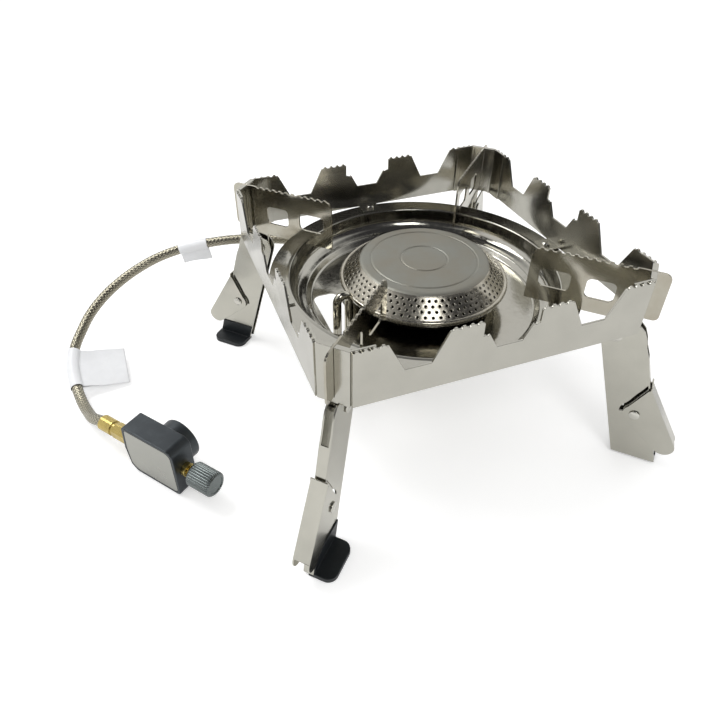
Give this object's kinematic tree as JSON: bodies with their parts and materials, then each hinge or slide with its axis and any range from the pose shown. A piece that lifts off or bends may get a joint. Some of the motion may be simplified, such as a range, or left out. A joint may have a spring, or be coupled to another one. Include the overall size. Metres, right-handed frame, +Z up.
{
  "type": "canister stove",
  "caption": "Remote canister stove: square serrated windshield and pan support on folding legs, perforated burner in a drip dish, braided hose to a canister valve.",
  "frame": {"origin": "on the ground, under the centre of the burner and of the square frame", "axes": "+Z up; X and Y square to the four side plates, with -Y towards the viewer's near right plate; the hose leaves the burner towards +Y and its valve lies at -X"},
  "size_m": [0.3471, 0.2732, 0.13],
  "materials": {
    "frame_steel": "satin stainless sheet, faint brush lines",
    "fin_steel": "satin stainless sheet",
    "dish_steel": "polished spun stainless",
    "burner_steel": "fine turned stainless",
    "hardware_steel": "bright fasteners",
    "preheat_metal": "drawn tube, dull",
    "leg_steel": "satin stainless channel",
    "foot_rubber": "dipped black rubber",
    "brass": "machined brass",
    "hose_braid": "braided stainless wire",
    "valve_alloy": "dark anodised aluminium",
    "panel_alloy": "bare satin aluminium",
    "knob_alloy": "dark anodised aluminium, fluted",
    "seal_rubber": "black nitrile",
    "label_stock": "blank white label"
  },
  "bodies": {
    "stove": {"side_plate_1": "frame_steel", "corner_plate_1": "frame_steel", "fin_1": "fin_steel", "side_plate_2": "frame_steel", "corner_plate_2": "frame_steel", "fin_2": "fin_steel", "side_plate_3": "frame_steel", "corner_plate_3": "frame_steel", "fin_3": "fin_steel", "side_plate_4": "frame_steel", "corner_plate_4": "frame_steel", "fin_4": "fin_steel", "drip_dish": "dish_steel", "dish_screws": "hardware_steel", "dish_nuts": "hardware_steel", "burner_cap": "burner_steel", "burner_bowl": "burner_steel", "mixing_tube": "burner_steel", "burner_screws": "hardware_steel", "jet_bracket": "frame_steel", "jet_block": "brass", "jet": "brass", "preheat_tube": "preheat_metal", "leg_spacers": "hardware_steel", "leg_pins": "hardware_steel", "hose_gland": "brass", "hose": "hose_braid", "hose_ferrule": "brass", "ferrule_nut": "brass", "valve_body": "valve_alloy", "valve_panel": "panel_alloy", "canister_collar": "valve_alloy", "collar_seal": "seal_rubber", "depressor_pin": "brass", "packing_nut": "brass", "tag_small": "label_stock", "tag_large": "label_stock"},
    "leg_1": {"leg_1": "leg_steel", "flap_rivet_1": "hardware_steel", "foot_pad_1": "foot_rubber"},
    "flap_1": {"flap_1": "leg_steel"},
    "leg_2": {"leg_2": "leg_steel", "flap_rivet_2": "hardware_steel", "foot_pad_2": "foot_rubber"},
    "flap_2": {"flap_2": "leg_steel"},
    "leg_3": {"leg_3": "leg_steel", "flap_rivet_3": "hardware_steel", "foot_pad_3": "foot_rubber"},
    "flap_3": {"flap_3": "leg_steel"},
    "leg_4": {"leg_4": "leg_steel", "flap_rivet_4": "hardware_steel", "foot_pad_4": "foot_rubber"},
    "flap_4": {"flap_4": "leg_steel"},
    "knob": {"valve_knob": "knob_alloy", "valve_spindle": "brass"}
  },
  "joints": [
    {"name": "leg_1_fold", "type": "hinge", "parent": "stove", "child": "leg_1", "pos_m": [0.08132, 0.08132, 0.087], "axis": [-0.7071, 0.7071, 0], "range_deg": [0, 83]},
    {"name": "flap_1_swing", "type": "hinge", "parent": "leg_1", "child": "flap_1", "pos_m": [0.09757, 0.09757, 0.0361], "axis": [-0.7071, 0.7071, 0], "range_deg": [0, 22]},
    {"name": "leg_2_fold", "type": "hinge", "parent": "stove", "child": "leg_2", "pos_m": [-0.08132, 0.08132, 0.087], "axis": [-0.7071, -0.7071, 0], "range_deg": [0, 83]},
    {"name": "flap_2_swing", "type": "hinge", "parent": "leg_2", "child": "flap_2", "pos_m": [-0.09757, 0.09757, 0.0361], "axis": [-0.7071, -0.7071, 0], "range_deg": [0, 22]},
    {"name": "leg_3_fold", "type": "hinge", "parent": "stove", "child": "leg_3", "pos_m": [-0.08132, -0.08132, 0.087], "axis": [0.7071, -0.7071, 0], "range_deg": [0, 83]},
    {"name": "flap_3_swing", "type": "hinge", "parent": "leg_3", "child": "flap_3", "pos_m": [-0.09757, -0.09757, 0.0361], "axis": [0.7071, -0.7071, 0], "range_deg": [0, 22]},
    {"name": "leg_4_fold", "type": "hinge", "parent": "stove", "child": "leg_4", "pos_m": [0.08132, -0.08132, 0.087], "axis": [0.7071, 0.7071, 0], "range_deg": [0, 83]},
    {"name": "flap_4_swing", "type": "hinge", "parent": "leg_4", "child": "flap_4", "pos_m": [0.09757, -0.09757, 0.0361], "axis": [0.7071, 0.7071, 0], "range_deg": [0, 22]},
    {"name": "knob_turn", "type": "hinge", "parent": "stove", "child": "knob", "pos_m": [-0.15651, -0.03978, 0.0175], "axis": [0.6157, -0.788, 0], "range_deg": [0, 540]}
  ]
}
